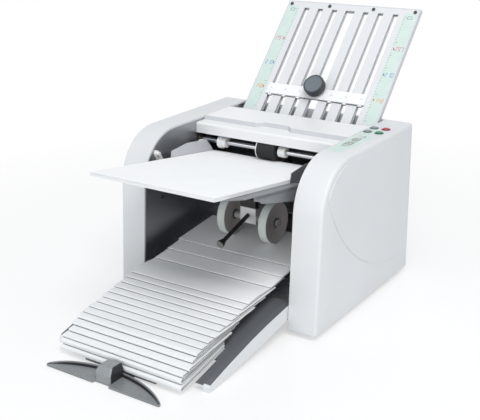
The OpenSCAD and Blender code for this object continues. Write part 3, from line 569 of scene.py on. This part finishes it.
# Seven-bar figures, on a cell one unit wide and two high
BARS = {
    "a": (0.1, 1.85, 0.9, 2.0), "b": (0.85, 1.05, 1.0, 1.9), "c": (0.85, 0.1, 1.0, 0.95),
    "d": (0.1, 0.0, 0.9, 0.15), "e": (0.0, 0.1, 0.15, 0.95), "f": (0.0, 1.05, 0.15, 1.9),
    "g": (0.1, 0.93, 0.9, 1.07),
}
FIGURES = {
    "0": "abcdef", "1": "bc", "2": "abged", "3": "abgcd", "4": "fgbc", "5": "afgcd",
    "6": "afgedc", "7": "abc", "8": "abcdefg", "9": "abcdfg",
}


def figure_bars(text, x, s, size, across=False):
    """Bars of a number whose lower left corner is at x, s; size is the width of one figure."""
    bars = []
    for k, letter in enumerate(text):
        for key in FIGURES[letter]:
            x0, s0, x1, s1 = BARS[key]
            x0, x1 = x0 + 1.35 * k, x1 + 1.35 * k
            box = (x0, s0, x1, s1) if not across else (-s1, x0, -s0, x1)
            bars.append((x + box[0] * size, s + box[1] * size, x + box[2] * size, s + box[3] * size))
    return bars


# ---- Folded letters ----

LETTER_SHEET = 0.26
LETTER_STEPS = 14
LETTER_ACROSS = 10
FLAT_LETTERS = 3            # the ones under the stacker wheels


def letter_sections():
    """Corners of every folded sheet's section in Y and Z, from the front of the pile to its top."""
    source = bmesh.new()
    source.from_mesh(NODES["folded_sheets"].data)
    bmesh.ops.remove_doubles(source, verts=source.verts, dist=0.01 * MM)
    left, sections = set(source.verts), []
    while left:
        group, queue = set(), [left.pop()]
        while queue:
            v = queue.pop()
            group.add(v)
            for edge in v.link_edges:
                other = edge.other_vert(v)
                if other in left:
                    left.discard(other)
                    queue.append(other)
        west = min(v.co.x for v in group)
        east = max(v.co.x for v in group)
        corners = sorted({(round(v.co.y, 6), round(v.co.z, 6)) for v in group if v.co.x < west + MM})
        front = sorted(corners[:2], key=lambda c: c[1])
        rear = sorted(corners[-2:], key=lambda c: c[1])
        sections.append((west, east, front[0], front[1], rear[0], rear[1]))
    source.free()
    return sorted(sections, key=lambda s: (s[2][0], s[2][1]))


def letter_line(section, strip, rng):
    """Middle line of one letter folded in three, in Y and Z, from its tucked edge to its open end."""
    _, _, low_front, high_front, low_rear, high_rear = section
    inset = 0.22 * MM
    length = low_rear[0] - low_front[0]
    share = min(1, strip / length)
    bulge = min(0.036 * strip, 2.0 * MM)
    thick = high_front[1] - low_front[1] - 2 * inset

    def under(u):
        lift = bulge * math.sin(math.pi * u / share) if u < share else 0
        y = low_front[0] + (low_rear[0] - low_front[0]) * u
        return Vector((0, y, low_front[1] + (low_rear[1] - low_front[1]) * u + inset + lift))

    def over(u):
        lift = bulge * math.sin(math.pi * u / share) if u < share else 0
        y = high_front[0] + (high_rear[0] - high_front[0]) * u
        return Vector((0, y, high_front[1] + (high_rear[1] - high_front[1]) * u - inset + lift))

    tuck = rng.uniform(0.4, 0.6)
    droop = rng.uniform(0.02, 0.07)
    nose = min(thick / 2, 2.4 * MM)
    line = []
    for k in range(LETTER_STEPS, -1, -1):
        u = droop + (0.985 - droop) * k / LETTER_STEPS
        line.append(under(u).lerp(over(u), 1 - tuck * (1 - 0.45 * (1 - u))))
    line = line[::-1]
    tail = []
    for k in range(1, 4):
        a = math.pi * k / 4
        point = over(0.99).lerp(line[-1], 0.5 - 0.5 * math.cos(a))
        tail.append(point + Vector((0, 0.35 * MM * math.sin(a), 0)))
    line += tail[::-1]
    line += [over(k / LETTER_STEPS) for k in range(LETTER_STEPS, 0, -1)]
    start, end = over(0.03), under(0.03)
    for k in range(1, 8):
        a = math.pi * k / 8
        point = start.lerp(end, 0.5 - 0.5 * math.cos(a))
        line.append(point + Vector((0, -nose * math.sin(a), 0)))
    line += [under(k / LETTER_STEPS) for k in range(1, LETTER_STEPS + 1)]
    return line


def ribbon(line, thickness):
    """Closed outline of a thin sheet along a line of points in Y and Z."""
    upper, lower = [], []
    for i, point in enumerate(line):
        ahead = line[min(i + 1, len(line) - 1)] - line[max(i - 1, 0)]
        square = Vector((0, -ahead.z, ahead.y)).normalized() * (thickness * MM / 2)
        upper.append(point + square)
        lower.append(point - square)
    return upper + lower[::-1]


def make_letters():
    rng = random.Random(7)
    sections = letter_sections()
    skins = []
    for i, section in enumerate(sections):
        flat = i >= len(sections) - FLAT_LETTERS
        strip = 0 if flat else max(8 * MM, sections[i + 1][2][0] - section[2][0])
        outline = ribbon(letter_line(section, strip, rng), LETTER_SHEET)
        shift = rng.uniform(-1.8, 1.8) * MM
        turn = rng.uniform(-0.006, 0.006)
        phase, wave = rng.uniform(0, math.tau), 0 if flat else rng.uniform(0.05, 0.12) * MM
        west, east = section[0], section[1]
        rings = []
        for k in range(LETTER_ACROSS + 1):
            x = west + (east - west) * k / LETTER_ACROSS
            lift = wave * math.sin(4 * x / (east - west) * math.pi + phase)
            rings.append([Vector((x + shift, p.y + turn * x, p.z + lift)) for p in outline])
        skins.append(bridged(rings))
    letters = new_object("folded_letters", *joined(skins), LETTER_PAPER)
    sharpen(letters, 50)
    finish_piece(letters, "chassis", "paper_white", "folded_sheets")


# ---- Paper stack ----

LEAVES = 24


def make_stack():
    along = -joint_axis("paper_slide")
    out = Vector((1, 0, 0)).cross(along)
    s0, s1 = span("feed_paper", along)
    n0, n1 = span("feed_paper", out)
    x0, x1 = span("feed_paper", Vector((1, 0, 0)))
    rng = random.Random(3)
    skins = []
    pitch = (n1 - n0) / LEAVES
    for k in range(LEAVES):
        dx, ds = rng.gauss(0, 0.22) * MM, rng.gauss(0, 0.25) * MM - (0.9 * MM if k < 3 else 0)
        turn = rng.gauss(0, 0.0006)
        low, high = n0 + pitch * (k + 0.08), n0 + pitch * (k + 0.92)
        points = []
        for n in (low, high):
            for x, s in rectangle(x0, s0, x1, s1):
                turned_x, turned_s = x + dx - turn * (s - s0), s + ds + turn * x
                points.append(Vector((turned_x, 0, 0)) + along * turned_s + out * n)
        skins.append((points, BOX_FACES))
    stack = new_object("paper_leaves", *joined(skins), PAPER, smooth=False)
    finish_piece(stack, "paper_stack", "paper_white", "feed_paper")


# ---- Upper fold plate ----

PLATE_END = 211             # height of the plate's upper edge over the scale's zero
STRIP_X = (100.5, 123.2)    # inner and outer edge of a scale strip
STRIP_S = (-10, 203)        # its lower and upper end
TICK_STEP, TICKS = 5, 41
SHEET_SIGN = 192            # lower edge of the small sheet sign
STRIP_FIGURES = (("297", 132.5, INK_MAGENTA), ("210", 82.5, INK_BLUE), ("148", 34.0, INK_ORANGE))
STRIP_MIDDLE = 114
FIGURE_SIZE = 4.0


def plate_place():
    along, out = joint_axis("upper_stop_slide"), joint_axis("upper_knob_turn")
    end = span("upper_plate_front", along)[1] - PLATE_END * MM
    return Place(along * end + out * span("upper_plate_front", out)[1], (1, 0, 0), along, out)


def make_scales():
    place = plate_place()
    for side, name in ((-1, "left"), (1, "right")):
        x0, x1 = sorted((side * STRIP_X[0], side * STRIP_X[1]))
        outline = rectangle(x0, STRIP_S[0], x1, STRIP_S[1])
        strip = prism(f"scale_strip_{name}", place, outline, 0.02, 0.14, LABEL_GREEN)
        finish_piece(strip, "chassis", "plate_white")
        inner = side * STRIP_X[0]
        ticks = []
        for k in range(TICKS):
            s = TICK_STEP * k - 4
            reach = 6 if k % 10 == 0 else 4 if k % 5 == 0 else 2.4
            a, b = sorted((inner + side * 0.8, inner + side * (0.8 + reach)))
            ticks.append((a, s - 0.2, b, s + 0.2))
        left, right, low, high = side * 112 - 4, side * 112 + 4, SHEET_SIGN, SHEET_SIGN + 5.6
        ticks += [
            (left, low, right, low + 0.6), (left, high - 0.6, right, high),
            (left, low, left + 0.6, high), (right - 0.6, low, right, high)]
        marks = tiles(f"scale_ticks_{name}", place, ticks, 0.1, 0.19, INK_AND_SHADOW_DARK)
        finish_piece(marks, "chassis", "plate_white")
        for text, s, ink in STRIP_FIGURES:
            bars = figure_bars(text, side * STRIP_MIDDLE - 7.2, s - 3, FIGURE_SIZE)
            tip, level = side * (STRIP_MIDDLE - 9.2), s - 3 + FIGURE_SIZE
            for k in range(3):
                wide, high = 0.9 * (1 - k / 3), 1.6 * (1 - k / 3) + 0.3
                bars.append((tip - wide, level - high, tip + wide, level + high))
            figures = tiles(f"scale_{text}_{name}", place, bars, 0.1, 0.2, ink)
            finish_piece(figures, "chassis", "plate_white")


KNOB_RIBS = 40
GRIP_H = 16


def knob_profile(r, low, high):
    return [
        (0.01, low), (r * 0.7, low), (r - 2.4, low + 0.8), (r - 1, low + 2), (r - 0.2, low + 3.6),
        (r, low + 4.6), (r, high - 1.6), (r - 0.25, high - 0.8), (r - 0.8, high - 0.25), (r - 1.6, high),
        (r - 2.6, high - 0.1), (r - 2.8, high - 3), (0.01, high - 3)]


def dish_profile(r, high):
    return [
        (0.01, high - 2.8), (r - 2.9, high - 2.8), (r - 2.7, high - 0.5), (r - 3.2, high - 0.4),
        (r * 0.7, high - 1.1), (r * 0.4, high - 1.7), (r * 0.15, high - 1.9), (0.01, high - 1.95)]


def make_knobs():
    for node, joint, body, slide in (
        ("upper_knob", "upper_knob_turn", "upper_stop_clamp", "upper_stop_slide"),
        ("lower_knob", "lower_knob_turn", "lower_stop_clamp", "lower_stop_slide"),
    ):
        out, along = joint_axis(joint), joint_axis(slide)
        bottom, top = span(node, out)
        axis = joint_point(joint)
        base = axis - out * axis.dot(out) + out * bottom
        place = Place(base, (1, 0, 0), along, out)
        low_x, high_x = span(node, Vector((1, 0, 0)))
        r = (high_x - low_x) / 2 / MM
        high = (top - bottom) / MM
        profile = knob_profile(r, high - GRIP_H, high)
        knob = lathe(f"{node}_grip", place, profile, KNOB_SLATE, 160, KNOB_RIBS, 0.5)
        finish_piece(sharpen(knob, 60), body, "knob_slate", node)
        # The dished top carries painted light
        dish = lathe(f"{node}_dish", place, dish_profile(r, high), KNOB_DISH_LIT, 96)
        finish_piece(sharpen(dish, 50), body, "knob_slate")
        stem = lathe(f"{node}_stem", place, [(4, 0.0), (4, high - GRIP_H + 0.5)], BRIGHT_STEEL, 32)
        finish_piece(sharpen(stem), body, "knob_slate")


# ---- Stop bar ----

STOP_BAR_W = 186
SLOT_SPOTS = (-85.2, -57.6, -30, 30, 57.6, 85.2)
TAB_W = 6.5                 # width of the tab at each slot


def make_stop_tabs():
    along, out = joint_axis("upper_stop_slide"), joint_axis("upper_knob_turn")
    base = along * span("upper_stop", along)[0] + out * span("upper_plate_front", out)[1]
    place = Place(base, (1, 0, 0), along, out)
    body = body_of(NODES["upper_stop"])[0]
    # Dark strips along the bar's lower edge and round each tab: painted shadow
    shadow_lines, tabs, x = [], [], 1 - STOP_BAR_W / 2
    for slot in SLOT_SPOTS:
        left, right = slot - TAB_W / 2, slot + TAB_W / 2
        shadow_lines += [(x, -0.9, left, 0.1), (left - 0.8, -3.4, right + 0.8, 0.1)]
        tabs.append((left, -2.5, right, 0.4))
        x = right
    shadow_lines.append((x, -0.9, STOP_BAR_W / 2 - 1, 0.1))
    finish_piece(tiles("stop_bar_shadow_line", place, shadow_lines, 0.25, 1.2, INK_AND_SHADOW_DARK), body, "stop_white")
    finish_piece(tiles("stop_bar_tabs", place, tabs, 0.3, 2.2, STOP_WHITE), body, "stop_white")


# ---- Stacker wheels ----

AXLE_BORE = 3.06            # radius


def make_wheels():
    for side in ("left", "right"):
        node, body = f"wheel_{side}", f"stacker_wheel_{side}"
        place, r, half = axle_place(node)
        tread = mirrored([
            (r - 2.4, half - 0.6), (r - 1.1, half - 0.1), (r - 0.4, half - 0.3), (r, half - 1.0)])
        tyre = lathe(f"{node}_tyre", place, tread, WHEEL_RIM, 120, capped=False)
        finish_piece(sharpen(tyre, 60), body, "wheel_grey", node)
        disc = mirrored([
            (AXLE_BORE, half - 1.6), (10, half - 1.6), (11, half - 0.9),
            (r - 2.2, half - 0.5), (r - 1.2, half - 0.05)])
        face = lathe(f"{node}_face", place, disc, WHEEL_FACE, 120, capped=False)
        finish_piece(sharpen(face, 40), body, "wheel_grey")
        for sign, end in ((-1, "in"), (1, "out")):
            flip = Place(place.origin, (0, sign, 0), (0, 0, 1), (sign, 0, 0))
            hub = lathe(f"{node}_hub_{end}", flip, [
                (AXLE_BORE + 0.02, half - 1.8), (7.6, half - 1.8), (7.6, half - 0.6), (7.0, half - 0.1),
                (5.2, half), (4.8, half - 0.5), (AXLE_BORE + 0.02, half - 0.5)], HUB_DARK, 48, capped=False)
            finish_piece(sharpen(hub, 40), body, "wheel_grey")


# ---- Feed roller ----

SHAFT_BORE = 4.05           # radius
GROOVE_STEP = 1.5


def make_feed_roller():
    place, r, half = axle_place("feed_roller")
    grooves = int(2 * half / GROOVE_STEP)
    profile = [(SHAFT_BORE, -half), (r - 0.8, -half), (r - 0.3, -half + 0.2)]
    for k in range(1, grooves):
        h = -half + 2 * half * k / grooves
        profile += [(r, h - 0.5), (r, h - 0.16), (r - 0.35, h), (r, h + 0.16)]
    profile += [(r - 0.3, half - 0.2), (r - 0.8, half), (SHAFT_BORE, half)]
    roller = lathe("feed_roller_tyre", place, profile, RUBBER, 96, capped=False)
    finish_piece(sharpen(roller, 50), "feed_drive", "roller_black", "feed_roller")


# ---- End stop ----

WING_STEPS = 48
WING_DEPTH = 33.5
WING_TIP = 4.5              # depth of the blunt tips
WING_BASE, WING_TOP = 0.5, 3.6
WING_NOTCH = (26, 4.5)      # its width and depth
BLOCK_X = (13.5, 11)        # half its width, and where its front bevel ends
BLOCK_S = (5, 7, 33)        # front face, end of the bevel, rear face
# Height of each section of the block, how far its sides draw in and how far its front leans back
BLOCK_RISE = ((2.8, 0, 0), (14, 0, 0.4), (16.5, 0.3, 1.6), (22, 2.2, 6.4), (23, 3.2, 7.4))
RUNNER = (-24, 30, 24, 137)     # its sides in x and s


def make_end_stop():
    low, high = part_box("tray_stop")
    width, front = (high.x - low.x) / MM, low.y
    place = Place((0, front, 0), (1, 0, 0), (0, 1, 0), (0, 0, 1))
    radius = (width * width / 4 + WING_DEPTH * WING_DEPTH) / 2 / WING_DEPTH

    def rear(x):
        return WING_DEPTH - radius + math.sqrt(radius * radius - x * x) + WING_TIP * (2 * x / width) ** 2

    def fore(x):
        return 0.3 + WING_NOTCH[1] * (abs(x) < WING_NOTCH[0] / 2)

    reach = width / 2 - 0.4
    xs = [(reach - 1.6) * (2 * k / WING_STEPS - 1) for k in range(WING_STEPS + 1)]
    edge = WING_NOTCH[0] / 2
    fronts = [x for x in xs if abs(abs(x) - edge) > 2]
    fronts = sorted(fronts + [-edge - 1.2, -edge + 0.6, edge - 0.6, edge + 1.2])
    tip = [(reach - 0.4, 1.2), (reach, 2.6), (reach - 0.3, WING_TIP - 0.8)]
    outline = [(x, fore(x)) for x in fronts] + tip
    outline += [(x, rear(x)) for x in reversed(xs)] + [(-x, s) for x, s in reversed(tip)]
    wing = soften(prism("end_stop_wing", place, outline, WING_BASE, WING_TOP, WING_GREY), 0.6)
    finish_piece(wing, "end_stop", "wing_grey", "tray_stop")

    def along_rear(name, section, finish):
        """A ridge along the wing's rear, whose section depends on how far the lip rises there."""
        rings = []
        for x in xs:
            lift = WING_TOP + 4.6 * (1 - (2 * x / width) ** 6)
            rings.append([place.at(x, rear(x) - 0.1 - d, h) for d, h in section(lift)])
        finish_piece(sharpen(new_object(name, *bridged(rings), finish), 50), "end_stop", "wing_grey")

    foot = WING_TOP - 0.4
    along_rear("end_stop_lip", lambda lift: (
        (2.6, foot), (2.2, lift - 0.5), (1.8, lift), (0.6, lift), (0, lift - 0.7), (0, foot)), WING_GREY)
    foot = WING_TOP - 0.3
    # A dark strip at the lip's inner foot: painted shade of a groove
    along_rear("end_stop_groove_shade", lambda lift: (
        (4.4, foot), (4.4, foot + 0.38), (2.7, foot + 0.6), (2.4, lift - 1.4), (2.4, foot)), PAINTED_SHADE_DARK)
    make_stop_block(place)
    rings = [[place.at(x, s, h) for x, s in rectangle(*RUNNER)] for h in (0.5, 1.7)]
    runner = soften(new_object("end_stop_runner", *bridged(rings), WING_GREY), 0.3)
    finish_piece(runner, "end_stop", "wing_grey")


def make_stop_block(place):
    side, bevel = BLOCK_X
    front, shoulder, back = BLOCK_S
    rings = []
    for h, inset, lean in BLOCK_RISE:
        outline = (
            (inset - side, shoulder + lean), (inset - bevel, front + lean), (bevel - inset, front + lean),
            (side - inset, shoulder + lean), (side - inset, back - inset / 2),
            (inset - side, back - inset / 2))
        rings.append([place.at(x, s, h) for x, s in outline])
    block = new_object("end_stop_block", *bridged(rings), BLOCK_GREY, smooth=False)
    # Painted shade on the block's right face
    block.data.materials.append(PAINTED_SHADE_DARK)
    for face in block.data.polygons:
        face.material_index = int(face.normal.x > 0.7)
    finish_piece(soften(block, 0.8), "end_stop", "wing_grey")


# ---- Controls ----

LABEL_OUTLINE = (
    (-13.5, -64), (10.5, -60), (14.2, -40), (15.5, 30), (10, 38), (2.5, 45), (1.5, 88), (-13.5, 88))
DIGIT_SPOTS = (-20, 3)
DIGIT_SIZE = 5.6
BEZEL = [(5.85, 0.02), (7.0, 0.02), (6.9, 0.45), (6.5, 0.6), (6.0, 0.5), (5.85, 0.3)]


def make_controls():
    centre = middle("display_window")
    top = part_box("right_housing")[1].z
    place = Place((centre.x, centre.y, top), (1, 0, 0), (0, 1, 0), (0, 0, 1))
    label = prism("control_label", place, LABEL_OUTLINE, 0.01, 0.12, LABEL_GREEN)
    finish_piece(label, "chassis", "housing_white")
    display_top = (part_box("display_window")[1].z - top) / MM
    digits = [(x0, s + 2 * s0, x1, s + 2 * s1) for s in DIGIT_SPOTS
              for x0, s0, x1, s1 in figure_bars("8", DIGIT_SIZE, 0, DIGIT_SIZE, across=True)]
    figures = tiles("display_figures", place, digits, display_top - 0.05, display_top + 0.06, SEGMENT)
    finish_piece(figures, "chassis", "display_dark")
    for node in ("button_back", "button_clear", "button_start", "button_stop"):
        key = middle(node)
        spot = Place((key.x, key.y, top), (1, 0, 0), (0, 1, 0), (0, 0, 1))
        ring = lathe(f"{node}_bezel", spot, BEZEL, HUB_DARK, 48, capped=False)
        finish_piece(sharpen(ring, 50), "chassis", "key_grey")


# ---- Floor and light ----

FLOOR_SIZE = 20
FLOOR_WHITE = (0.55, 1.0)   # share of plain white near the object and away from it
FLOOR_FADE = (0.35, 1.0)    # metres over which it rises


def make_floor():
    mesh = bpy.data.meshes.new("floor")
    h = FLOOR_SIZE / 2
    mesh.from_pydata([(-h, -h, 0), (h, -h, 0), (h, h, 0), (-h, h, 0)], [], [(0, 1, 2, 3)])
    floor = bpy.data.objects.new("floor", mesh)
    bpy.context.scene.collection.objects.link(floor)
    finish = Finish("floor", (250, 250, 250), 0.35)
    finish.mottle(0.6, 0.004).sheen_drift(3, 0.05).relief(300, 0.02, 0.1)
    tree, shader = finish.tree, finish.shader
    white = finish.add("ShaderNodeEmission")
    white.inputs["Color"].default_value = (1, 1, 1, 1)
    white.inputs["Strength"].default_value = 1
    path = finish.add("ShaderNodeLightPath")
    away = finish.add("ShaderNodeVectorMath", operation="LENGTH")
    finish.link(finish.place, away.inputs[0])
    share = finish.add("ShaderNodeMath", operation="MULTIPLY")
    finish.link(path.outputs["Is Camera Ray"], share.inputs[0])
    finish.link(finish.ranged(away.outputs["Value"], *FLOOR_WHITE, *FLOOR_FADE), share.inputs[1])
    blend = finish.add("ShaderNodeMixShader")
    finish.link(share.outputs[0], blend.inputs[0])
    finish.link(shader.outputs[0], blend.inputs[1])
    finish.link(white.outputs[0], blend.inputs[2])
    finish.link(blend.outputs[0], tree.nodes["Material Output"].inputs["Surface"])
    mesh.materials.append(finish.made)


def make_world():
    world = bpy.data.worlds.new("studio")
    bpy.context.scene.world = world
    world.use_nodes = True
    tree = world.node_tree
    light = tree.nodes["Background"]
    light.inputs["Color"].default_value = (0.93, 0.96, 1, 1)
    light.inputs["Strength"].default_value = 0.54
    white = tree.nodes.new("ShaderNodeBackground")
    white.inputs["Color"].default_value = (1, 1, 1, 1)
    white.inputs["Strength"].default_value = 1
    path = tree.nodes.new("ShaderNodeLightPath")
    seen = tree.nodes.new("ShaderNodeMath")
    seen.operation = "MAXIMUM"
    tree.links.new(path.outputs["Is Camera Ray"], seen.inputs[0])
    tree.links.new(path.outputs["Is Glossy Ray"], seen.inputs[1])
    blend = tree.nodes.new("ShaderNodeMixShader")
    tree.links.new(seen.outputs[0], blend.inputs[0])
    tree.links.new(light.outputs[0], blend.inputs[1])
    tree.links.new(white.outputs[0], blend.inputs[2])
    tree.links.new(blend.outputs[0], tree.nodes["World Output"].inputs["Surface"])


# Name, place, what it looks at, size in metres and watts
LAMPS = (
    ("key", (1.1, -0.9, 2.6), (0, 0, 0.1), 1.6, 42),
    ("front", (-0.9, -2.3, 1.0), (0, 0, 0.12), 2.0, 6),
    ("fill", (0.75, -1.8, 0.5), (0, 0, 0.15), 1.1, 5.5),
)


def make_light():
    for name, at, target, size, power in LAMPS:
        data = bpy.data.lights.new(name, "AREA")
        data.shape, data.size, data.energy = "DISK", size, power
        lamp = bpy.data.objects.new(name, data)
        lamp.location = at
        lamp.rotation_euler = (Vector(target) - Vector(at)).to_track_quat("-Z", "Y").to_euler()
        bpy.context.scene.collection.objects.link(lamp)


make_camera()
make_world()
make_floor()
make_light()
dress_nodes()
dress_faces()
make_letters()
make_stack()
make_scales()
make_knobs()
make_stop_tabs()
make_wheels()
make_feed_roller()
make_end_stop()
make_controls()

bpy.context.scene.view_settings.view_transform = "Standard"
